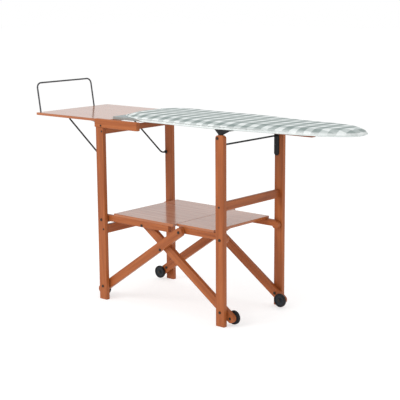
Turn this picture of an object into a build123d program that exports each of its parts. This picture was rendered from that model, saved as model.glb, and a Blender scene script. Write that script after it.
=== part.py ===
from build123d import *
import os
from math import cos, sin, tan, atan2, radians, degrees, hypot

# Folding wooden ironing board with a clothes shelf and a flap for the iron.
# Units are millimetres. Origin: on the floor, under the middle of the overall length and width.
# X runs from the iron flap (-X) to the nose of the board (+X), Z is up, the front is -Y.

# ---- driving dimensions ----
LEFT_AXIS_X = -408.5            # centre line of the left pair of legs
LEG_SPACING = 718.0             # left leg centre line to right leg centre line
RIGHT_AXIS_X = LEFT_AXIS_X + LEG_SPACING
LEG_WIDTH = 48.0
BAR_THICK = 22.0                # thickness of every leg, arm and rail, along Y
ARM_WIDTH = 42.0
EDGE_R = 3.0                    # eased edges of the wooden bars
OUTER_HALF_W = 252.5            # half of the overall width, over the left legs
GAP_1 = 4.0                     # washer gap between the left legs and the layer inside them
GAP_2 = 2.5                     # washer gap between that layer and the innermost one
LEFT_LEG_TOP = 843.0
BEAM_TOP = 883.0
BEAM_OVERHANG = 30.0            # beam end beyond the left leg's centre line
BEAM_END = 246.0                # other beam end, from the left leg's centre line
RIGHT_LEG_TOP = 861.0
TOP_CORNER_R = 14.0
LOWER_RAIL_Z = (330.0, 372.0)
LOWER_RAIL_T = 20.0
UPPER_RAIL_Z = (811.0, 839.0)
UPPER_RAIL_T = 15.0
CROSSBAR_Z = (523.0, 563.0)
CROSSBAR_DX = (-12.0, 6.0)      # crossbar faces, from the right leg's centre line

# ---- scissor arms ----
FOOT_PIVOT_Z = 65.0             # arm pivots near the feet
SHELF_PIVOT_Z = 396.0           # shelf rail pivots on the legs
ARM_END_DX = 243.5              # from a shelf rail's leg pivot to its arm pivot
CROSS_PIVOT_Z = 297.0           # the two arms of a side cross here
WHEEL_DX = 38.0                 # wheel axle beyond the foot pivot
WHEEL_Z = 38.0
WHEEL_R = 32.0
WHEEL_T = 14.0
WHEEL_HUB_R = 11.0
WHEEL_AXLE_R = 4.0

# ---- clothes shelf ----
SHELF_TOP = 430.0
SHELF_T = 12.0
SHELF_LEFT_HALF_W = 226.0       # fits between the left legs
SHELF_RIGHT_HALF_W = 203.0      # fits between the right legs
SHELF_LEFT_DX = 60.0            # left panel's first edge, from the left leg's centre line
SHELF_SPLIT_DX = 445.0          # joint between the two panels
SHELF_SPLIT_GAP = 1.5
SHELF_BEVEL = 6.5               # lower edge set back at the joint, for folding
SHELF_RIGHT_DX = 53.0           # right panel's last edge, from the right leg's centre line
RAIL_DROP = 30.0                # height of a shelf rail
RAIL_EYE_R = 19.0
LEFT_RAIL_END_DX = 412.0

# ---- board ----
BOARD_BOTTOM = 884.0
PLATE_T = 12.0
PAD_T = 8.0
COVER_T = 7.0
COVER_SIDE = 5.0                # how far the cover stands outside the plate
TAIL_DX = 58.0                  # board's tail edge, from the left leg's centre line
PLATE_HALF_W = 216.0
TAPER_START_X = 190.0
NOSE_X = 898.0
HINGE_X = RIGHT_AXIS_X - 10.5
HINGE_Z = 848.0
STRAP_W = 27.0
STRAP_T = 4.0
STRAP_BOTTOM = 721.0
TIE_ROD_Z = 815.0
TIE_ROD_R = 4.0
BATTEN_Y = 45.0
BATTEN_W = 30.0
BATTEN_H = 19.0
BATTEN_X = (HINGE_X + 60.0, HINGE_X + 378.0)

# ---- iron flap ----
FLAP_TOP = 882.0
FLAP_T = 12.0
FLAP_HALF_W = 227.5             # between the beams
FLAP_WIDE_HALF_W = 246.0        # beyond the beams' ends
FLAP_WIDE_DX = -34.0            # where the wide part starts, from the left leg's centre line
FLAP_END_X = -862.0
FLAP_INNER_DX = 50.0            # inner edge, from the left leg's centre line
FLAP_HINGE_X = LEFT_AXIS_X - 12.0
FLAP_HINGE_Z = 851.0
GUARD_R = 4.0
GUARD_FRONT_Y = -210.0
GUARD_REAR_Y = 158.0
GUARD_TOP = 1024.0
GUARD_LEAN = 25.0
GUARD_GAP = 3.0                 # between the wire and the flap's end
GUARD_SUNK = 2.0                # depth of the wire's grooves under the flap
GUARD_START_X = -718.0
BRACE_PIVOT_X = LEFT_AXIS_X - 16.0
BRACE_PIVOT_Z = 668.0
BRACE_TOP_X = -678.0
BRACE_Y = 198.0
BRACE_R = 4.0

# ---- pivots ----
BOLT_R = 4.0
HOLE_R = 4.08                   # running fit
HEAD_R = 6.5
HEAD_T = 3.0
OPEN_PIVOT_DEPTH = 16.0         # bolt length inside the leg that holds an open pivot
THIN_HEAD_T = 1.8               # axle heads that pass a leg in a narrow gap

LAYER_1 = (OUTER_HALF_W - BAR_THICK, OUTER_HALF_W)
LAYER_2 = (LAYER_1[0] - GAP_1 - BAR_THICK, LAYER_1[0] - GAP_1)
LAYER_3 = (LAYER_2[0] - GAP_2 - BAR_THICK, LAYER_2[0] - GAP_2)
SHELF_BOTTOM = SHELF_TOP - SHELF_T
CROSS_X = (LEFT_AXIS_X + RIGHT_AXIS_X) / 2
TAIL_X = LEFT_AXIS_X + TAIL_DX
PLATE_TOP = BOARD_BOTTOM + PLATE_T
PAD_TOP = PLATE_TOP + PAD_T
COVER_TOP = PAD_TOP + COVER_T
FLAP_BOTTOM = FLAP_TOP - FLAP_T
SIDES = (("front", -1), ("rear", 1))


# ---- helpers ----
def block(x, y, z, ease=0.0):
    """Box between pairs of limits, with its long edges eased when asked."""
    size = (x[1] - x[0], y[1] - y[0], z[1] - z[0])
    box = Pos((x[0] + x[1]) / 2, (y[0] + y[1]) / 2, (z[0] + z[1]) / 2) * Box(*size)
    if ease:
        longest = (Axis.X, Axis.Y, Axis.Z)[size.index(max(size))]
        box = fillet(box.edges().filter_by(longest), ease)
    return box


def span(layer, side):
    """Y limits of a layer on the front (-1) or rear (+1) side."""
    return tuple(sorted((side * layer[0], side * layer[1])))


def rod_y(x, z, y, radius):
    """Cylinder along Y between two Y values."""
    length = abs(y[1] - y[0])
    return Pos(x, (y[0] + y[1]) / 2, z) * Rot(90, 0, 0) * Cylinder(radius, length)


def hole_y(x, z, y, radius=HOLE_R):
    """Through cutter along Y, a little longer than the limits."""
    return rod_y(x, z, (min(y) - 1, max(y) + 1), radius)


def bar(start, end, width, y, extend=(0.0, 0.0), ease=EDGE_R):
    """Flat bar with round ends in the XZ plane, from one point to another."""
    dx = end[0] - start[0]
    dz = end[1] - start[1]
    length = hypot(dx, dz)
    angle = degrees(atan2(dz, dx))
    total = length + extend[0] + extend[1]
    face = SlotCenterToCenter(total, width)
    solid = extrude(Plane.XZ * face, (y[1] - y[0]) / 2, both=True)
    solid = fillet(solid.edges().filter_by(lambda e: abs(e.length - total) < 1), ease) if ease else solid
    middle = (length + extend[1] - extend[0]) / 2
    cx = start[0] + middle * cos(radians(angle))
    cz = start[1] + middle * sin(radians(angle))
    return Pos(cx, (y[0] + y[1]) / 2, cz) * Rot(0, -angle, 0) * solid


def bolt(x, z, outer_y, inner_y, nut=True, head_t=HEAD_T):
    """Bolt along Y with a round head at outer_y and, if asked, a nut past inner_y."""
    out = 1 if outer_y > inner_y else -1
    parts = rod_y(x, z, (outer_y, inner_y), BOLT_R)
    head = rod_y(x, z, (outer_y, outer_y + out * head_t), HEAD_R)
    head = fillet(head.edges().group_by(Axis.Y)[-1 if out > 0 else 0], 1.2)
    parts += head
    if nut:
        parts += rod_y(x, z, (inner_y, inner_y - out * HEAD_T), HEAD_R)
    return parts


def short_bolt(x, z, outer_y, side):
    """Bolt of an open pivot: it ends inside the leg."""
    return bolt(x, z, outer_y, outer_y - side * OPEN_PIVOT_DEPTH, nut=False)


def short_hole(x, z, outer_y, side):
    """Blind hole for the bolt of an open pivot."""
    return rod_y(x, z, (outer_y + side, outer_y - side * OPEN_PIVOT_DEPTH), BOLT_R)


def washer(x, z, y, radius=13.0):
    return rod_y(x, z, y, radius) - hole_y(x, z, y)


def wire(points, radii, radius):
    """Round wire along straight runs joined by tangent arcs."""
    path = FilletPolyline(*points, radius=radii)
    start = Plane(path @ 0, z_dir=path % 0)
    return sweep(start * Circle(radius), path=path)


def arm_points(side_of_arm):
    """Foot pivot, crossing pivot and top pivot of an arm, as (x, z)."""
    axis = LEFT_AXIS_X if side_of_arm > 0 else RIGHT_AXIS_X
    far = RIGHT_AXIS_X if side_of_arm > 0 else LEFT_AXIS_X
    foot = (axis, FOOT_PIVOT_Z)
    top = (far - side_of_arm * ARM_END_DX, SHELF_PIVOT_Z)
    return foot, (CROSS_X, CROSS_PIVOT_Z), top


# ---- left frame ----
def left_leg(side):
    x = (LEFT_AXIS_X - LEG_WIDTH / 2, LEFT_AXIS_X + LEG_WIDTH / 2)
    y = span(LAYER_1, side)
    leg = block(x, y, (0, LEFT_LEG_TOP), EDGE_R)
    leg -= hole_y(LEFT_AXIS_X, FOOT_PIVOT_Z, y, BOLT_R)
    leg -= short_hole(LEFT_AXIS_X, SHELF_PIVOT_Z, side * LAYER_1[1], side)
    inner = side * LAYER_1[0]
    leg -= rod_y(BRACE_PIVOT_X, BRACE_PIVOT_Z, (inner - side, inner + side * 12), 6.0)
    return leg


def top_beam(side):
    y = span(LAYER_1, side)
    x = (LEFT_AXIS_X - BEAM_OVERHANG, LEFT_AXIS_X + BEAM_END)
    beam = block(x, y, (LEFT_LEG_TOP, BEAM_TOP), EDGE_R)
    inner = side * LAYER_1[0]
    return beam - rod_y(FLAP_HINGE_X, FLAP_HINGE_Z, (inner - side, inner + side * 12), BOLT_R)


def left_rail(limits, thickness):
    x1 = LEFT_AXIS_X + LEG_WIDTH / 2
    return block((x1 - thickness, x1), (-LAYER_1[0], LAYER_1[0]), limits, EDGE_R)


def left_bolts():
    group = []
    for _, side in SIDES:
        group.append(bolt(LEFT_AXIS_X, FOOT_PIVOT_Z, side * LAYER_1[1], side * LAYER_2[0]))
        group.append(short_bolt(LEFT_AXIS_X, SHELF_PIVOT_Z, side * LAYER_1[1], side))
    return Compound(children=group)


def left_washers():
    group = []
    for _, side in SIDES:
        y = (side * (LAYER_1[0] - 0.2), side * (LAYER_2[1] + 0.2))
        for z in (FOOT_PIVOT_Z, SHELF_PIVOT_Z):
            group.append(washer(LEFT_AXIS_X, z, y))
    return Compound(children=group)


def frame_screws():
    """Screw heads that hold the cross rails and the beams, standing just proud."""
    x1 = LEFT_AXIS_X + LEG_WIDTH / 2
    spots = ((x1 - LOWER_RAIL_T / 2, sum(LOWER_RAIL_Z) / 2),
             (x1 - UPPER_RAIL_T / 2, sum(UPPER_RAIL_Z) / 2),
             (LEFT_AXIS_X + 11.0, LEFT_LEG_TOP + 9.0))
    group = []
    for _, side in SIDES:
        for x, z in spots:
            group.append(rod_y(x, z, (side * LAYER_1[1], side * (LAYER_1[1] + 1.2)), 4.5))
    return Compound(children=group)


def brace_sockets():
    group = []
    for _, side in SIDES:
        inner = side * LAYER_1[0]
        cup = rod_y(BRACE_PIVOT_X, BRACE_PIVOT_Z, (inner - side * 4, inner + side * 12), 6.0)
        cup += rod_y(BRACE_PIVOT_X, BRACE_PIVOT_Z, (inner - side * 4, inner), 9.0)
        cup -= hole_y(BRACE_PIVOT_X, BRACE_PIVOT_Z, (inner - side * 4, inner + side * 12), BRACE_R + 0.08)
        group.append(cup)
    return Compound(children=group)


# ---- right frame ----
def right_leg(side):
    x = (RIGHT_AXIS_X - LEG_WIDTH / 2, RIGHT_AXIS_X + LEG_WIDTH / 2)
    y = span(LAYER_2, side)
    leg = block(x, y, (0, RIGHT_LEG_TOP))
    leg = fillet(leg.edges().filter_by(Axis.Y).group_by(Axis.Z)[-1], TOP_CORNER_R)
    leg = fillet(leg.edges().filter_by(Axis.Z), EDGE_R)
    for px, pz in ((RIGHT_AXIS_X, FOOT_PIVOT_Z), (HINGE_X, HINGE_Z)):
        leg -= hole_y(px, pz, y, BOLT_R)
    return leg - short_hole(RIGHT_AXIS_X, SHELF_PIVOT_Z, side * LAYER_2[1], side)


def right_crossbar():
    x = (RIGHT_AXIS_X + CROSSBAR_DX[0], RIGHT_AXIS_X + CROSSBAR_DX[1])
    return block(x, (-LAYER_2[0], LAYER_2[0]), CROSSBAR_Z, EDGE_R)


def right_bolts():
    group = []
    for _, side in SIDES:
        group.append(bolt(RIGHT_AXIS_X, FOOT_PIVOT_Z, side * LAYER_2[1], side * LAYER_3[0]))
        group.append(short_bolt(RIGHT_AXIS_X, SHELF_PIVOT_Z, side * LAYER_2[1], side))
        group.append(bolt(HINGE_X, HINGE_Z, side * LAYER_2[1], side * (LAYER_2[0] - STRAP_T - 1)))
        x = RIGHT_AXIS_X + sum(CROSSBAR_DX) / 2
        z = sum(CROSSBAR_Z) / 2
        group.append(rod_y(x, z, (side * LAYER_2[1], side * (LAYER_2[1] + 1.2)), 4.5))
    return Compound(children=group)


def right_washers():
    group = []
    for _, side in SIDES:
        y = (side * (LAYER_2[0] - 0.2), side * (LAYER_3[1] + 0.2))
        for z in (FOOT_PIVOT_Z, SHELF_PIVOT_Z):
            group.append(washer(RIGHT_AXIS_X, z, y))
    return Compound(children=group)


# ---- scissor arms and wheels ----
def arm(side, side_of_arm):
    """One scissor arm. side_of_arm is +1 from the left feet, -1 from the right feet."""
    layer = LAYER_2 if side_of_arm > 0 else LAYER_3
    y = span(layer, side)
    foot, cross, top = arm_points(side_of_arm)
    solid = bar(foot, top, ARM_WIDTH, y, extend=(hypot(WHEEL_DX, FOOT_PIVOT_Z - WHEEL_Z), 0.0))
    solid -= hole_y(*foot, y)
    solid -= hole_y(*cross, y, BOLT_R if side_of_arm > 0 else HOLE_R)
    solid -= hole_y(foot[0] - side_of_arm * WHEEL_DX, WHEEL_Z, y, WHEEL_AXLE_R)
    return solid - hole_y(*top, y, BOLT_R if side_of_arm > 0 else HOLE_R)


def cross_bolts():
    """Bolts of the arms from the left feet: at the crossing and at the right shelf rails."""
    group = []
    for _, side in SIDES:
        for point in arm_points(1)[1:]:
            group.append(bolt(*point, side * LAYER_2[1], side * LAYER_3[0]))
    return Compound(children=group)


def wheel_axles(side_of_arm):
    layer = LAYER_2 if side_of_arm > 0 else LAYER_3
    axis = LEFT_AXIS_X if side_of_arm > 0 else RIGHT_AXIS_X
    head_t = HEAD_T if side_of_arm > 0 else THIN_HEAD_T
    group = []
    for _, side in SIDES:
        end = side * (layer[0] - WHEEL_T - 1.5)
        group.append(bolt(axis - side_of_arm * WHEEL_DX, WHEEL_Z, side * layer[1], end, head_t=head_t))
    return Compound(children=group)


def wheel(side, side_of_arm):
    layer = LAYER_2 if side_of_arm > 0 else LAYER_3
    axis = LEFT_AXIS_X if side_of_arm > 0 else RIGHT_AXIS_X
    x = axis - side_of_arm * WHEEL_DX
    y0 = side * (layer[0] - 1.0)
    y1 = side * (layer[0] - 1.0 - WHEEL_T)
    disc = rod_y(x, WHEEL_Z, (y0, y1), WHEEL_R)
    disc = fillet(disc.edges().filter_by(GeomType.CIRCLE), 3.0)
    groove = rod_y(x, WHEEL_Z, (y1, y1 + side * 2.5), WHEEL_R - 7) - rod_y(x, WHEEL_Z, (y0, y1), WHEEL_HUB_R)
    return disc - groove - hole_y(x, WHEEL_Z, (y0, y1), WHEEL_AXLE_R + 0.08)


# ---- clothes shelf ----
def shelf_rail(side, side_of_rail):
    """Rail under a shelf panel, with a round eye at the leg. +1 is the left one."""
    layer = LAYER_2 if side_of_rail > 0 else LAYER_3
    y = span(layer, side)
    axis = LEFT_AXIS_X if side_of_rail > 0 else RIGHT_AXIS_X
    reach = LEFT_RAIL_END_DX if side_of_rail > 0 else ARM_END_DX + RAIL_EYE_R
    ends = sorted((axis, axis + side_of_rail * reach))
    z = (SHELF_BOTTOM - RAIL_DROP, SHELF_BOTTOM)
    eye = rod_y(axis, SHELF_PIVOT_Z, y, RAIL_EYE_R - 1.0)
    pivot_x = axis + side_of_rail * ARM_END_DX
    radius = BOLT_R if side_of_rail > 0 else HOLE_R
    return block(ends, y, z, EDGE_R) + eye - hole_y(pivot_x, SHELF_PIVOT_Z, y, radius)


def shelf_panel(side_of_rail):
    split = LEFT_AXIS_X + SHELF_SPLIT_DX
    if side_of_rail > 0:
        x = (LEFT_AXIS_X + SHELF_LEFT_DX, split - SHELF_SPLIT_GAP / 2)
        low_end = x[1] - SHELF_BEVEL
        half_w = SHELF_LEFT_HALF_W
    else:
        x = (split + SHELF_SPLIT_GAP / 2, RIGHT_AXIS_X - SHELF_RIGHT_DX)
        low_end = x[1]
        half_w = SHELF_RIGHT_HALF_W
    section = Polyline((x[0], SHELF_BOTTOM), (low_end, SHELF_BOTTOM), (x[1], SHELF_TOP),
                       (x[0], SHELF_TOP), close=True)
    panel = extrude(Plane.XZ * make_face(section), half_w, both=True)
    return chamfer(panel.edges().group_by(Axis.Z)[-1], 1.0)


def shelf_bolts():
    group = []
    for _, side in SIDES:
        group.append(bolt(LEFT_AXIS_X + ARM_END_DX, SHELF_PIVOT_Z, side * LAYER_2[1], side * LAYER_3[0]))
    return Compound(children=group)


# ---- board ----
def half_outline(grow, tail_x):
    """Long side and nose of the board as edges, from the taper's start to the nose."""
    half = PLATE_HALF_W + grow
    nose = NOSE_X - COVER_SIDE + grow
    corner = (nose - 52.0, 84.0 + grow)
    shoulder = (TAPER_START_X + 290.0, half - 37.0)
    side = Line((tail_x, half), (TAPER_START_X, half))
    taper = Spline((TAPER_START_X, half), shoulder, corner, tangents=((1, 0), (0.80, -0.60)))
    tip = Spline(corner, (nose, 0.0), tangents=((0.80, -0.60), (0, -1)))
    return side, taper, tip


def plate_face(grow=0.0):
    side, taper, tip = half_outline(grow, TAIL_X - grow)
    tail = Line((TAIL_X - grow, 0), (TAIL_X - grow, PLATE_HALF_W + grow))
    axis = Line(tip @ 1, tail @ 0)
    half = make_face([tail, side, taper, tip, axis])
    return half + mirror(half, about=Plane.XZ)


def cover_face():
    """The cover follows the board, and its tail corners are cut back on a curve."""
    cut_x = TAIL_X + 185.0
    side, taper, tip = half_outline(COVER_SIDE, cut_x)
    tail = Line((TAIL_X - COVER_SIDE, 0), (TAIL_X - COVER_SIDE, 88.0))
    curve = Spline(tail @ 1, side @ 0, tangents=((0.25, 1), (1, 0.12)))
    axis = Line(tip @ 1, tail @ 0)
    half = make_face([tail, curve, side, taper, tip, axis])
    return half + mirror(half, about=Plane.XZ)


def base_plate():
    return extrude(Pos(0, 0, BOARD_BOTTOM) * plate_face(), PLATE_T)


def felt_pad():
    shape = extrude(Pos(0, 0, PLATE_TOP) * cover_face(), PAD_T)
    return shape & extrude(Pos(0, 0, PLATE_TOP) * plate_face(-3.0), PAD_T)


def cover():
    skin = extrude(Pos(0, 0, BOARD_BOTTOM + 1) * cover_face(), COVER_TOP - BOARD_BOTTOM - 1)
    skin -= extrude(Pos(0, 0, BOARD_BOTTOM - 1) * plate_face(0.3), PAD_TOP + 0.3 - BOARD_BOTTOM + 1)
    return skin


def batten(side):
    y = tuple(sorted((side * (BATTEN_Y - BATTEN_W / 2), side * (BATTEN_Y + BATTEN_W / 2))))
    return block(BATTEN_X, y, (BOARD_BOTTOM - BATTEN_H, BOARD_BOTTOM), EDGE_R)


def hinge_strap(side):
    """Flat steel strap with a flange under the board; it swings on the leg's inner face."""
    y = tuple(sorted((side * (LAYER_2[0] - 0.3), side * (LAYER_2[0] - 0.3 - STRAP_T))))
    y_flange = tuple(sorted((side * (LAYER_2[0] - 0.3), side * (LAYER_2[0] - 26))))
    flange = block((HINGE_X - 34, HINGE_X + 55), y_flange, (BOARD_BOTTOM - STRAP_T, BOARD_BOTTOM))
    end = (HINGE_X, STRAP_BOTTOM + STRAP_W / 2)
    strap = bar(end, (HINGE_X, BOARD_BOTTOM - STRAP_T - STRAP_W / 2), STRAP_W, y, ease=0)
    strap += block((HINGE_X - STRAP_W / 2, HINGE_X + STRAP_W / 2), y, (HINGE_Z, BOARD_BOTTOM - 1))
    gusset = Polyline((HINGE_X - 32, 880), (HINGE_X + 50, 880), (HINGE_X + STRAP_W / 2, 862),
                      (HINGE_X - STRAP_W / 2, 862), close=True)
    web = extrude(Plane.XZ * make_face(gusset), STRAP_T / 2, both=True)
    strap += Pos(0, (y[0] + y[1]) / 2, 0) * web
    return strap + flange - hole_y(HINGE_X, HINGE_Z, y) - hole_y(HINGE_X, TIE_ROD_Z, y, TIE_ROD_R)


def tie_rod():
    return rod_y(HINGE_X, TIE_ROD_Z, (-LAYER_2[0] + 0.3, LAYER_2[0] - 0.3), TIE_ROD_R)


# ---- iron flap ----
def iron_flap():
    z = (FLAP_BOTTOM, FLAP_TOP)
    wide = (FLAP_END_X, LEFT_AXIS_X + FLAP_WIDE_DX)
    panel = block(wide, (-FLAP_WIDE_HALF_W, FLAP_WIDE_HALF_W), z)
    panel += block((FLAP_END_X, LEFT_AXIS_X + FLAP_INNER_DX), (-FLAP_HALF_W, FLAP_HALF_W), z)
    panel = chamfer(panel.edges().group_by(Axis.Z)[-1], 1.0)
    for y in (GUARD_FRONT_Y, GUARD_REAR_Y):
        panel -= block((FLAP_END_X - 1, GUARD_START_X), (y - GUARD_R, y + GUARD_R),
                       (FLAP_BOTTOM - 1, FLAP_BOTTOM + GUARD_SUNK))
    return panel


def flap_bracket(side):
    """Side bracket under the flap, with an eye and a pin that turns in the beam."""
    y_out = side * (FLAP_HALF_W - 0.5)
    y = tuple(sorted((y_out, y_out - side * 3)))
    x = FLAP_HINGE_X
    z = FLAP_HINGE_Z
    outline = Polyline((x - 92, FLAP_BOTTOM), (x + 34, FLAP_BOTTOM), (x + 7, z - 5), (x - 9, z - 4),
                       (x - 50, FLAP_BOTTOM - 7), close=True)
    web = Pos(0, (y[0] + y[1]) / 2, 0) * extrude(Plane.XZ * make_face(outline), 1.5, both=True)
    eye = rod_y(x, z, y, 9.0)
    foot = block((x - 88, x + 30), tuple(sorted((y_out, y_out - side * 18))), (FLAP_BOTTOM - 2, FLAP_BOTTOM))
    pin = rod_y(x, z, (y_out - side * 3, side * (LAYER_1[0] + 11)), BOLT_R - 0.08)
    return web + eye + foot + pin


def guard_wire():
    """Wire under the flap that turns up past its end and makes the guard loop."""
    z_low = FLAP_BOTTOM + GUARD_SUNK - GUARD_R
    x_out = FLAP_END_X - GUARD_R - GUARD_GAP
    x_top = x_out - GUARD_LEAN
    points = [(GUARD_START_X, GUARD_FRONT_Y, z_low), (x_out, GUARD_FRONT_Y, z_low),
              (x_top, GUARD_FRONT_Y, GUARD_TOP), (x_top, GUARD_REAR_Y, GUARD_TOP),
              (x_out, GUARD_REAR_Y, z_low), (GUARD_START_X, GUARD_REAR_Y, z_low)]
    return wire(points, [8.0, 26.0, 26.0, 8.0], GUARD_R)


def brace_wire():
    """U-shaped wire whose bent ends turn in the left legs and whose bar carries the flap."""
    z_top = FLAP_BOTTOM - BRACE_R - 0.5
    tip = LAYER_1[0] + 8.0
    points = [(BRACE_PIVOT_X, -tip, BRACE_PIVOT_Z), (BRACE_PIVOT_X, -BRACE_Y, BRACE_PIVOT_Z),
              (BRACE_TOP_X, -BRACE_Y, z_top), (BRACE_TOP_X, BRACE_Y, z_top),
              (BRACE_PIVOT_X, BRACE_Y, BRACE_PIVOT_Z), (BRACE_PIVOT_X, tip, BRACE_PIVOT_Z)]
    return wire(points, [14.0, 14.0, 14.0, 14.0], BRACE_R)


def all_parts():
    parts = {"left_lower_rail": left_rail(LOWER_RAIL_Z, LOWER_RAIL_T),
             "left_upper_rail": left_rail(UPPER_RAIL_Z, UPPER_RAIL_T),
             "left_pivot_bolts": left_bolts(), "left_washers": left_washers(),
             "frame_screws": frame_screws(), "brace_sockets": brace_sockets(),
             "right_crossbar": right_crossbar(), "right_pivot_bolts": right_bolts(),
             "right_washers": right_washers(), "cross_bolts": cross_bolts(),
             "left_wheel_axles": wheel_axles(1), "right_wheel_axles": wheel_axles(-1),
             "shelf_panel_left": shelf_panel(1), "shelf_panel_right": shelf_panel(-1),
             "shelf_bolts": shelf_bolts(), "base_plate": base_plate(), "felt_pad": felt_pad(),
             "cover": cover(), "tie_rod": tie_rod(), "iron_flap": iron_flap(),
             "guard_wire": guard_wire(), "brace_wire": brace_wire()}
    for name, side in SIDES:
        parts["left_leg_" + name] = left_leg(side)
        parts["top_beam_" + name] = top_beam(side)
        parts["right_leg_" + name] = right_leg(side)
        parts["long_arm_left_" + name] = arm(side, 1)
        parts["long_arm_right_" + name] = arm(side, -1)
        parts["wheel_left_" + name] = wheel(side, 1)
        parts["wheel_right_" + name] = wheel(side, -1)
        parts["shelf_rail_left_" + name] = shelf_rail(side, 1)
        parts["shelf_rail_right_" + name] = shelf_rail(side, -1)
        parts["batten_" + name] = batten(side)
        parts["hinge_strap_" + name] = hinge_strap(side)
        parts["flap_bracket_" + name] = flap_bracket(side)
    return parts


os.makedirs("parts", exist_ok=True)
for node, shape in all_parts().items():
    export_step(shape, "parts/" + node + ".step")
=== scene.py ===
from math import cos, pi, radians, sin

import bmesh
import bpy
import numpy as np
from mathutils import Matrix, Vector


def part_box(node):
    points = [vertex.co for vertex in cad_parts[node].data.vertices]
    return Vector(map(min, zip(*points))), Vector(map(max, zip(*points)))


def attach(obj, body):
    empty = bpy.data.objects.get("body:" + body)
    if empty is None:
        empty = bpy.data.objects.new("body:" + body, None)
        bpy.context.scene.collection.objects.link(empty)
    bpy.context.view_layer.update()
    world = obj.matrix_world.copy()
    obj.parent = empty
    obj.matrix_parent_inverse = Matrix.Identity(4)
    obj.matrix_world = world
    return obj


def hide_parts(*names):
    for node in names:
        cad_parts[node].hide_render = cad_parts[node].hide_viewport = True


# Looks of a folding wooden ironing board. Metres, in the CAD model's frame.

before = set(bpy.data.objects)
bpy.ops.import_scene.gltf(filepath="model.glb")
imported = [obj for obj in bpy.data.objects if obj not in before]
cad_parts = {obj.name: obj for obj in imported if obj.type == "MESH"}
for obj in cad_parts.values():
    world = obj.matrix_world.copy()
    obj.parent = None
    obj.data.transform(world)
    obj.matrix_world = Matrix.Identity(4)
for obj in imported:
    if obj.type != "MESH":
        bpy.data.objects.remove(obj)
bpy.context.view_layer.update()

# ---- camera ----
CAMERA_POS = Vector((3.2430, -3.7468, 1.4851))
CAMERA_AZIMUTH = radians(40.862)
CAMERA_DOWN = radians(11.195)
CAMERA_ROLL = radians(-0.40)
CAMERA_LENS_MM = 96.26
CAMERA_SENSOR_MM = 36.0

# ---- board outline ----
PLATE_LOW, PLATE_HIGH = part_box("base_plate")
COVER_LOW_Z = 0.8856
COVER_HIGH_Z = 0.9065  # before the filling lifts it
VOXEL = 0.006
PUFF_CAP = 0.0055      # how far the filling lifts the fabric
CLOTH_FRAMES = 20
OUTLINE_POINTS = 190   # along one half of the outline
HEM_R = 0.0019
HEM_STEP_X = -0.16     # towards the tail from here, the hem climbs onto the plate where it crosses it

# ---- gathers along the drop ----
PUCKER = 0.0016        # their depth
PUCKER_REACH = 0.022   # how far in from the outline they go
PUCKER_TOP_Z = 0.914
PUCKER_FADE = 0.020    # below their top they grow to full depth over this height

# ---- fabric and wood ----
GINGHAM = 0.066        # one light and one dark stripe
WEAVE_WAVE = 3100.0    # radians per metre
RIB_WAVE = 1800.0
HUB_R = 0.0245
GRAIN_X = (0.0, 0.0, 0.0)
GRAIN_Y = (0.0, 0.0, radians(-90))
GRAIN_Z = (0.0, radians(90), 0.0)
ARM_TILT = radians(34.8)

# ---- studio ----
FLOOR_HALF = 30.0
FLOOR_COLOUR = (0.50, 0.50, 0.50, 1.0)
FLOOR_GLOW = 0.60
WORLD_LIGHT = 0.80     # the backdrop itself shows as white
WHITE = (1.0, 1.0, 1.0, 1.0)


# ---- node helpers ----
def srgb(r, g, b):
    """Linear colour from 8-bit sRGB values."""
    def line(v):
        v /= 255.0
        return v / 12.92 if v <= 0.04045 else ((v + 0.055) / 1.055) ** 2.4
    return (line(r), line(g), line(b), 1.0)


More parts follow.
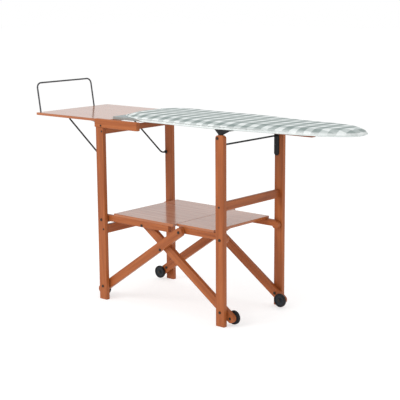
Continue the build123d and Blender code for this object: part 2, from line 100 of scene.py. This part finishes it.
class Mat:
    """A material with short calls for its nodes."""

    def __init__(self, name):
        self.material = bpy.data.materials.new(name)
        self.material.use_nodes = True
        self.tree = self.material.node_tree
        self.shader = self.tree.nodes["Principled BSDF"]
        coords = self.tree.nodes.new("ShaderNodeTexCoord")
        self.coords = coords.outputs["Object"]
        self.normal = coords.outputs["Normal"]

    def link(self, a, b):
        self.tree.links.new(a, b)

    def node(self, kind, **values):
        n = self.tree.nodes.new("ShaderNode" + kind)
        for key, value in values.items():
            setattr(n, key, value)
        return n

    def place(self, scale=(1, 1, 1), rotation=(0, 0, 0)):
        """Object coordinates, turned first and stretched after."""
        turn = self.node("Mapping")
        turn.inputs["Rotation"].default_value = rotation
        stretch = self.node("Mapping")
        stretch.inputs["Scale"].default_value = scale
        self.link(self.coords, turn.inputs["Vector"])
        self.link(turn.outputs["Vector"], stretch.inputs["Vector"])
        return stretch.outputs["Vector"]

    def noise(self, vector, scale, detail=4.0, roughness=0.6, distortion=0.0):
        n = self.node("TexNoise")
        n.inputs["Scale"].default_value = scale
        n.inputs["Detail"].default_value = detail
        n.inputs["Roughness"].default_value = roughness
        n.inputs["Distortion"].default_value = distortion
        self.link(vector, n.inputs["Vector"])
        return n.outputs["Fac"]

    def math(self, op, a, b=None, clamp=False):
        n = self.node("Math", operation=op, use_clamp=clamp)
        for socket, value in zip(n.inputs, (a, b)):
            if value is None:
                continue
            if isinstance(value, (int, float)):
                socket.default_value = value
            else:
                self.link(value, socket)
        return n.outputs[0]

    def ramp(self, fac, stops):
        n = self.node("ValToRGB")
        while len(n.color_ramp.elements) < len(stops):
            n.color_ramp.elements.new(0.5)
        for element, (pos, colour) in zip(n.color_ramp.elements, stops):
            element.position = pos
            element.color = colour if len(colour) == 4 else (*colour, 1.0)
        self.link(fac, n.inputs["Fac"])
        return n.outputs["Color"]

    def mix(self, fac, a, b, blend="MIX"):
        """Mixed colour. Inputs 6 and 7 are the node's two colours."""
        n = self.node("Mix", data_type="RGBA", blend_type=blend)
        for socket, value in ((n.inputs[0], fac), (n.inputs[6], a), (n.inputs[7], b)):
            if isinstance(value, (int, float, tuple)):
                socket.default_value = value
            else:
                self.link(value, socket)
        return n.outputs[2]

    def normal_part(self, index):
        """One component of the surface's normal in the object's frame, without its sign."""
        return self.math("ABSOLUTE", self.axis(index, self.normal))

    def axis(self, index, vector=None):
        split = self.node("SeparateXYZ")
        self.link(vector or self.coords, split.inputs[0])
        return split.outputs[index]

    def bump(self, height, strength, distance):
        n = self.node("Bump")
        n.inputs["Strength"].default_value = strength
        n.inputs["Distance"].default_value = distance
        self.link(height, n.inputs["Height"])
        self.link(n.outputs["Normal"], self.shader.inputs["Normal"])

    def range(self, fac, low, high):
        n = self.node("MapRange")
        n.inputs["To Min"].default_value = low
        n.inputs["To Max"].default_value = high
        self.link(fac, n.inputs["Value"])
        return n.outputs["Result"]

    def set(self, **values):
        for key, value in values.items():
            self.shader.inputs[key.replace("_", " ")].default_value = value

    def colour(self, socket):
        self.link(socket, self.shader.inputs["Base Color"])

    def roughness(self, socket):
        self.link(socket, self.shader.inputs["Roughness"])


# ---- materials ----
def wood(name, rotation, dark=(0.250, 0.066, 0.018)):
    """Satin stained beech. The grain runs along X after the rotation."""
    m = Mat(name)
    mid, light = (0.365, 0.102, 0.028), (0.450, 0.140, 0.042)
    grain = m.place(scale=(0.045, 1.0, 1.0), rotation=rotation)
    figure = m.noise(grain, 62.0, 5.0, 0.62, 0.35)
    flecks = m.noise(m.place(scale=(0.10, 1.0, 1.0), rotation=rotation), 520.0, 2.0, 0.5)
    tone = m.noise(m.coords, 3.1, 2.0, 0.5)
    base = m.ramp(figure, ((0.30, dark), (0.50, mid), (0.70, light)))
    speckled = m.mix(m.math("MULTIPLY", m.math("GREATER_THAN", flecks, 0.60), 0.22), base, (*dark, 1.0))
    worn = m.mix(m.math("MULTIPLY", tone, 0.35), speckled, (0.30, 0.078, 0.020, 1.0))
    m.colour(worn)
    m.roughness(m.range(figure, 0.34, 0.50))
    m.bump(m.math("ADD", figure, m.math("MULTIPLY", flecks, 0.4)), 0.16, 0.0006)
    m.set(Coat_Weight=0.06, Coat_Roughness=0.25, Specular_IOR_Level=0.22)
    return m.material


def laminate(name):
    """Pale wood-grain laminate on the broad faces, stained wood on the edges."""
    m = Mat(name)
    grain = m.place(scale=(0.03, 1.0, 1.0))
    streaks = m.noise(grain, 150.0, 5.0, 0.6, 0.2)
    fine = m.noise(grain, 700.0, 2.0, 0.5)
    stains = (srgb(158, 104, 80), srgb(186, 137, 115), srgb(203, 162, 142))
    broad = m.ramp(streaks, tuple(zip((0.25, 0.5, 0.75), stains)))
    broad = m.mix(m.math("MULTIPLY", fine, 0.25), broad, srgb(172, 120, 96))
    edge = m.ramp(streaks, ((0.3, (0.31, 0.085, 0.023)), (0.7, (0.47, 0.150, 0.045))))
    flat = m.math("GREATER_THAN", m.normal_part(2), 0.9)
    m.colour(m.mix(flat, edge, broad))
    m.roughness(m.range(m.math("ADD", fine, m.math("MULTIPLY", flat, -0.6)), 0.16, 0.36))
    m.bump(streaks, 0.05, 0.0003)
    m.set(Coat_Weight=0.35, Coat_Roughness=0.10, Specular_IOR_Level=0.4)
    return m.material


def grey_board(name):
    """Grey coated plate, slightly mottled, with a paler edge."""
    m = Mat(name)
    specks = m.noise(m.coords, 340.0, 3.0, 0.6)
    top = m.ramp(specks, ((0.3, srgb(132, 142, 143)), (0.7, srgb(160, 169, 169))))
    side = m.ramp(specks, ((0.3, srgb(140, 146, 144)), (0.7, srgb(170, 175, 172))))
    m.colour(m.mix(m.math("GREATER_THAN", m.normal_part(2), 0.7), side, top))
    m.roughness(m.range(specks, 0.42, 0.6))
    m.bump(specks, 0.1, 0.0004)
    return m.material


def metal(name, colour, metallic, rough):
    """Powder-coated or plated steel with a fine orange-peel surface."""
    m = Mat(name)
    peel = m.noise(m.coords, 900.0, 2.0, 0.5)
    patches = m.noise(m.coords, 24.0, 3.0, 0.6)
    bright = tuple(min(1.0, c * 1.5 + 0.006) for c in colour)
    m.colour(m.ramp(patches, ((0.3, colour), (0.75, bright))))
    m.roughness(m.range(patches, rough - 0.07, rough + 0.09))
    m.bump(peel, 0.08, 0.0003)
    m.set(Metallic=metallic, Specular_IOR_Level=0.25)
    return m.material


def wheel_plastic(name, hub):
    """Black tread with a dark blue-grey hub disc round the axle at hub = (x, z)."""
    m = Mat(name)
    dx = m.math("SUBTRACT", m.axis(0), hub[0])
    dz = m.math("SUBTRACT", m.axis(2), hub[1])
    radius = m.math("SQRT", m.math("ADD", m.math("MULTIPLY", dx, dx), m.math("MULTIPLY", dz, dz)))
    scuffs = m.noise(m.coords, 130.0, 4.0, 0.65)
    tread = m.ramp(scuffs, ((0.35, (0.006, 0.006, 0.007)), (0.8, (0.018, 0.018, 0.020))))
    disc = m.ramp(scuffs, ((0.35, (0.012, 0.016, 0.020)), (0.8, (0.028, 0.036, 0.044))))
    inside = m.math("LESS_THAN", radius, HUB_R)
    m.colour(m.mix(inside, tread, disc))
    m.roughness(m.range(scuffs, 0.38, 0.62))
    m.bump(scuffs, 0.15, 0.0004)
    m.set(Specular_IOR_Level=0.22)
    return m.material


def stripe(m, coordinate, period, softness):
    """0 to 1 across a stripe of half the period, with soft edges."""
    phase = m.math("MULTIPLY", coordinate, 2 * pi / period)
    wave = m.math("SINE", phase)
    return m.math("ADD", m.math("MULTIPLY", wave, softness), 0.5, clamp=True)


def gingham(name):
    """Cotton woven in grey-green and white checks."""
    m = Mat(name)
    wobble = m.noise(m.coords, 9.0, 2.0, 0.5)
    shift = m.math("MULTIPLY", m.math("SUBTRACT", wobble, 0.5), 0.020)
    x = m.math("ADD", m.axis(0), shift)
    y = m.math("ADD", m.axis(1), shift)
    across = stripe(m, x, GINGHAM, 4.0)
    along = stripe(m, y, GINGHAM, 4.0)
    count = m.math("ADD", m.math("MULTIPLY", across, 0.62), m.math("MULTIPLY", along, 0.38))
    dyes = (srgb(216, 222, 221), srgb(160, 171, 169), srgb(114, 130, 127))
    checks = m.ramp(count, tuple(zip((0.0, 0.5, 1.0), dyes)))
    drop = m.math("MULTIPLY", m.math("SUBTRACT", 1.0, m.normal_part(2)), 2.2, clamp=True)
    checks = m.mix(m.math("MULTIPLY", drop, 0.68), checks, srgb(247, 250, 249))
    warp = m.math("SINE", m.math("MULTIPLY", m.axis(0), WEAVE_WAVE))
    weft = m.math("SINE", m.math("MULTIPLY", m.axis(1), WEAVE_WAVE))
    weave = m.math("MULTIPLY", warp, weft)
    yarn = m.noise(m.coords, 850.0, 2.0, 0.6)
    shade = m.range(m.math("ADD", m.math("MULTIPLY", weave, 0.35), yarn), 0.86, 1.05)
    tint = m.node("CombineColor")
    for socket in tint.inputs:
        m.link(shade, socket)
    m.colour(m.mix(1.0, checks, tint.outputs[0], "MULTIPLY"))
    creases = m.noise(m.place(scale=(1.0, 0.35, 1.0)), 26.0, 4.0, 0.6)
    height = m.math("ADD", m.math("MULTIPLY", weave, 0.10), m.math("MULTIPLY", creases, 1.6))
    m.bump(height, 0.35, 0.0012)
    m.roughness(m.range(yarn, 0.78, 0.95))
    m.set(Sheen_Weight=0.25, Sheen_Roughness=0.5, Specular_IOR_Level=0.25)
    return m.material


def hem_cloth(name):
    """The cover's bound edge: pale cotton tape with close stitches."""
    m = Mat(name)
    yarn = m.noise(m.coords, 700.0, 2.0, 0.6)
    ribs = m.math("SINE", m.math("MULTIPLY", m.math("ADD", m.axis(0), m.axis(1)), RIB_WAVE))
    m.colour(m.ramp(yarn, ((0.3, srgb(206, 215, 213)), (0.7, srgb(238, 243, 242)))))
    m.bump(m.math("ADD", m.math("MULTIPLY", ribs, 0.5), yarn), 0.4, 0.0006)
    m.roughness(m.range(yarn, 0.8, 0.95))
    m.set(Sheen_Weight=0.2)
    return m.material


def assign_materials():
    """Gives every CAD node that stays its procedural material."""
    legs = wood("beech_legs", GRAIN_Z)
    rails = wood("beech_rails", GRAIN_X)
    # The crossbars use a copy of the beech with a darker darkest tone: this is painted shade for rails
    # that sit in shadow.
    shaded_bars = wood("beech_crossbars_painted_shade", GRAIN_Y, dark=(0.22, 0.056, 0.016))
    arm_left = wood("beech_arm_left", (0.0, ARM_TILT, 0.0))
    arm_right = wood("beech_arm_right", (0.0, -ARM_TILT, 0.0))
    black = metal("black_coat", (0.006, 0.006, 0.007), 0.0, 0.45)
    bolts = metal("bolt_black", (0.030, 0.024, 0.020), 0.6, 0.35)
    grey_wire = metal("guard_grey", (0.060, 0.062, 0.066), 0.5, 0.38)
    zinc = metal("bracket_zinc", (0.30, 0.31, 0.32), 0.8, 0.38)
    plastic = metal("washer_black", (0.020, 0.020, 0.021), 0.0, 0.55)
    groups = {
        "left_leg_*": legs, "right_leg_*": legs,
        "top_beam_*": rails, "shelf_rail_*": rails, "batten_*": rails,
        "left_lower_rail": shaded_bars, "left_upper_rail": shaded_bars, "right_crossbar": shaded_bars,
        "long_arm_left_*": arm_left, "long_arm_right_*": arm_right,
        "shelf_panel_*": laminate("laminate_shelf"), "iron_flap": laminate("laminate_flap"),
        "base_plate": grey_board("plate_grey"),
        "hinge_strap_*": black, "tie_rod": black, "brace_wire": black, "guard_wire": grey_wire,
        "flap_bracket_*": zinc, "*_bolts": bolts, "*_axles": bolts, "frame_screws": bolts,
        "*_washers": plastic, "brace_sockets": plastic,
    }
    for name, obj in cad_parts.items():
        for pattern, material in groups.items():
            head, _, tail = pattern.partition("*")
            if name.startswith(head) and name.endswith(tail) and ("*" in pattern or name == pattern):
                set_material(obj, material)
    for side in ("left", "right"):
        lo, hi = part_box("wheel_" + side + "_front")
        material = wheel_plastic("wheel_" + side, ((lo.x + hi.x) / 2, (lo.z + hi.z) / 2))
        for end in ("front", "rear"):
            set_material(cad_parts["wheel_" + side + "_" + end], material)


def set_material(obj, material):
    if not obj.material_slots:
        obj.data.materials.append(material)
    for s in obj.material_slots:
        s.material = material


# ---- padded cover ----
def cover_outline():
    """The cover's outline as (x, y) points: from the tail along the rear to the nose, and back."""
    co = np.array([v.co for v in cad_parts["cover"].data.vertices])
    top = co[co[:, 2] > co[:, 2].max() - 1e-4]
    half = sorted({(round(x, 5), round(y, 5)) for x, y, _ in top if y > -1e-5})
    half = np.array(half)
    step = np.r_[0, np.cumsum(np.hypot(*np.diff(half, axis=0).T))]
    even = np.linspace(0, step[-1], OUTLINE_POINTS)
    points = np.c_[np.interp(even, step, half[:, 0]), np.interp(even, step, half[:, 1])]
    other = points[-2:0:-1] * (1, -1)
    return np.r_[points, other]


def shrink(loop, by):
    """The closed loop moved inwards."""
    tangent = np.roll(loop, -1, 0) - np.roll(loop, 1, 0)
    tangent /= np.hypot(*tangent.T)[:, None]
    inward = np.c_[tangent[:, 1], -tangent[:, 0]]
    return loop + inward * by


def new_object(name, verts, faces):
    mesh = bpy.data.meshes.new(name)
    mesh.from_pydata([tuple(v) for v in verts], [], faces)
    mesh.update()
    obj = bpy.data.objects.new(name, mesh)
    bpy.context.scene.collection.objects.link(obj)
    return obj


def loft(name, rings):
    """Closed solid through stacked rings of equal length."""
    n = len(rings[0])
    verts = np.concatenate(rings)
    faces = []
    for k in range(len(rings) - 1):
        for i in range(n):
            j = (i + 1) % n
            faces.append((k * n + i, k * n + j, (k + 1) * n + j, (k + 1) * n + i))
    faces.append(tuple(range(n - 1, -1, -1)))
    faces.append(tuple(range((len(rings) - 1) * n, len(rings) * n)))
    obj = new_object(name, verts, faces)
    mesh = bmesh.new()
    mesh.from_mesh(obj.data)
    bmesh.ops.recalc_face_normals(mesh, faces=mesh.faces)
    mesh.to_mesh(obj.data)
    mesh.free()
    return obj


def apply_modifiers(obj):
    """Replaces the object's mesh by what its modifiers make of it."""
    graph = bpy.context.evaluated_depsgraph_get()
    mesh = bpy.data.meshes.new_from_object(obj.evaluated_get(graph))
    obj.modifiers.clear()
    obj.data = mesh


def positions(mesh):
    co = np.empty(len(mesh.vertices) * 3)
    mesh.vertices.foreach_get("co", co)
    return co.reshape(-1, 3)


def inflate(obj, cap):
    """Cloth under a little pressure, with its low edge held, moved by at most cap."""
    before = positions(obj.data)
    group = obj.vertex_groups.new(name="held")
    held = [i for i, z in enumerate(before[:, 2]) if z < COVER_LOW_Z + 0.006]
    group.add(held, 1.0, "REPLACE")
    cloth = obj.modifiers.new("Cloth", "CLOTH")
    cloth.settings.vertex_group_mass = "held"
    cloth.settings.use_pressure = True
    cloth.settings.uniform_pressure_force = 4.0
    cloth.settings.effector_weights.gravity = 0.0
    cloth.settings.quality = 4
    cloth.settings.mass = 0.25
    cloth.settings.tension_stiffness = 12.0
    cloth.settings.compression_stiffness = 12.0
    cloth.settings.shear_stiffness = 5.0
    cloth.settings.bending_stiffness = 0.4
    cloth.collision_settings.use_collision = False
    for number in range(1, CLOTH_FRAMES + 1):
        bpy.context.scene.frame_set(number)
    apply_modifiers(obj)
    bpy.context.scene.frame_set(1)
    move = positions(obj.data) - before
    length = np.linalg.norm(move, axis=1, keepdims=True)
    move *= np.minimum(1.0, cap / np.maximum(length, 1e-9))
    obj.data.vertices.foreach_set("co", (before + move).ravel())


def pucker(obj, loop):
    """Small gathers where the elastic edge draws the drop in."""
    co = positions(obj.data)
    step = np.r_[0, np.cumsum(np.hypot(*np.diff(loop, axis=0).T))]
    centre = np.array((0.25, 0.0))
    for i, (x, y, z) in enumerate(co):
        near = np.hypot(loop[:, 0] - x, loop[:, 1] - y)
        k = int(near.argmin())
        if near[k] > PUCKER_REACH:
            continue
        fade = (1 - near[k] / PUCKER_REACH) * min(1.0, max(0.0, (PUCKER_TOP_Z - z) / PUCKER_FADE))
        s = step[k]
        wave = 0.55 * sin(s * 390) + 0.45 * sin(s * 233 + 1.3) + 0.4 * sin(s * 97 + 0.4)
        out = loop[k] - centre
        out = out / np.hypot(*out)
        co[i, :2] += out * PUCKER * wave * fade
    obj.data.vertices.foreach_set("co", co.ravel())


def make_cover():
    loop = cover_outline()
    profile = ((0.0022, COVER_LOW_Z), (0.0012, 0.889), (0.0012, 0.8985), (0.0030, 0.9025),
               (0.0070, 0.9050), (0.0140, COVER_HIGH_Z))
    rings = []
    for inset, z in profile:
        ring = shrink(loop, inset)
        rings.append(np.c_[ring, np.full(len(ring), z)])
    cover = loft("padded_cover", rings)
    remesh = cover.modifiers.new("Remesh", "REMESH")
    remesh.mode = "VOXEL"
    remesh.voxel_size = VOXEL
    apply_modifiers(cover)
    inflate(cover, PUFF_CAP)
    smooth = cover.modifiers.new("Smooth", "SMOOTH")
    smooth.factor = 0.5
    smooth.iterations = 3
    apply_modifiers(cover)
    pucker(cover, loop)
    subdivision = cover.modifiers.new("Subdivision", "SUBSURF")
    subdivision.levels = 1
    apply_modifiers(cover)
    cover.data.shade_smooth()
    set_material(cover, gingham("gingham_cotton"))
    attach(cover, "board")
    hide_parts("cover", "felt_pad")
    return loop


def on_plate(x, y):
    """How deep a point of the outline lies inside the plate, in metres."""
    return min(PLATE_HIGH.y - abs(y), x - PLATE_LOW.x)


def make_hem(loop):
    """Bound edge: it closes the cover's lower edge, and lies on the plate over the tail corners."""
    points = []
    for x, y in shrink(loop, 0.0012):
        rise = min(1.0, max(0.0, on_plate(x, y) / 0.012 + 0.6)) if x < HEM_STEP_X else 0.0
        z = COVER_LOW_Z + HEM_R + rise * (PLATE_HIGH.z + 0.0005 - COVER_LOW_Z)
        points.append((x, y, z))
    curve = bpy.data.curves.new("cover_hem", "CURVE")
    curve.dimensions = "3D"
    curve.bevel_depth = HEM_R
    curve.bevel_resolution = 2
    spline = curve.splines.new("POLY")
    spline.points.add(len(points) - 1)
    for p, co in zip(spline.points, points):
        p.co = (*co, 1.0)
    spline.use_cyclic_u = True
    hem = bpy.data.objects.new("cover_hem", curve)
    bpy.context.scene.collection.objects.link(hem)
    set_material(hem, hem_cloth("hem_cotton"))
    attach(hem, "board")


# ---- studio ----
def make_floor():
    corners = [(x * FLOOR_HALF, y * FLOOR_HALF, 0) for x, y in ((-1, -1), (1, -1), (1, 1), (-1, 1))]
    floor = new_object("floor", corners, [(0, 1, 2, 3)])
    m = Mat("floor_white")
    m.set(Base_Color=FLOOR_COLOUR, Roughness=0.9, Specular_IOR_Level=0.1)
    m.set(Emission_Color=WHITE, Emission_Strength=FLOOR_GLOW)
    set_material(floor, m.material)


def area_light(name, position, target, size, power):
    data = bpy.data.lights.new(name, "AREA")
    data.shape = "RECTANGLE"
    data.size = size[0]
    data.size_y = size[1]
    data.energy = power
    light = bpy.data.objects.new(name, data)
    light.location = position
    light.rotation_euler = (Vector(target) - Vector(position)).to_track_quat("-Z", "Y").to_euler()
    bpy.context.scene.collection.objects.link(light)


def make_lights():
    world = bpy.data.worlds.new("studio")
    world.use_nodes = True
    tree = world.node_tree
    background = tree.nodes["Background"]
    background.inputs["Color"].default_value = WHITE
    path = tree.nodes.new("ShaderNodeLightPath")
    level = tree.nodes.new("ShaderNodeMapRange")
    level.inputs["To Min"].default_value = WORLD_LIGHT
    level.inputs["To Max"].default_value = 1.0
    tree.links.new(path.outputs["Is Camera Ray"], level.inputs["Value"])
    tree.links.new(level.outputs["Result"], background.inputs["Strength"])
    bpy.context.scene.world = world
    area_light("key", (-1.6, -4.2, 3.6), (0, 0, 0.5), (2.6, 2.0), 105.0)
    area_light("top", (0.4, 0.6, 4.4), (0, 0, 0.5), (3.2, 3.2), 30.0)


def make_camera():
    """Camera at the photograph's viewing angle, from its azimuth, tilt and roll."""
    forward = Vector((-sin(CAMERA_AZIMUTH) * cos(CAMERA_DOWN), cos(CAMERA_AZIMUTH) * cos(CAMERA_DOWN),
                      -sin(CAMERA_DOWN)))
    level = Vector((cos(CAMERA_AZIMUTH), sin(CAMERA_AZIMUTH), 0.0))
    upright = level.cross(forward)
    right = level * cos(CAMERA_ROLL) + upright * sin(CAMERA_ROLL)
    up = upright * cos(CAMERA_ROLL) - level * sin(CAMERA_ROLL)
    data = bpy.data.cameras.new("camera")
    data.lens = CAMERA_LENS_MM
    data.sensor_width = CAMERA_SENSOR_MM
    data.clip_end = 100.0
    camera = bpy.data.objects.new("camera", data)
    turn = Matrix((right, up, -forward)).transposed()
    camera.matrix_world = Matrix.Translation(CAMERA_POS) @ turn.to_4x4()
    bpy.context.scene.collection.objects.link(camera)
    bpy.context.scene.camera = camera


make_camera()
make_lights()
make_floor()
assign_materials()
outline = make_cover()
make_hem(outline)
bpy.context.scene.view_settings.view_transform = "Standard"
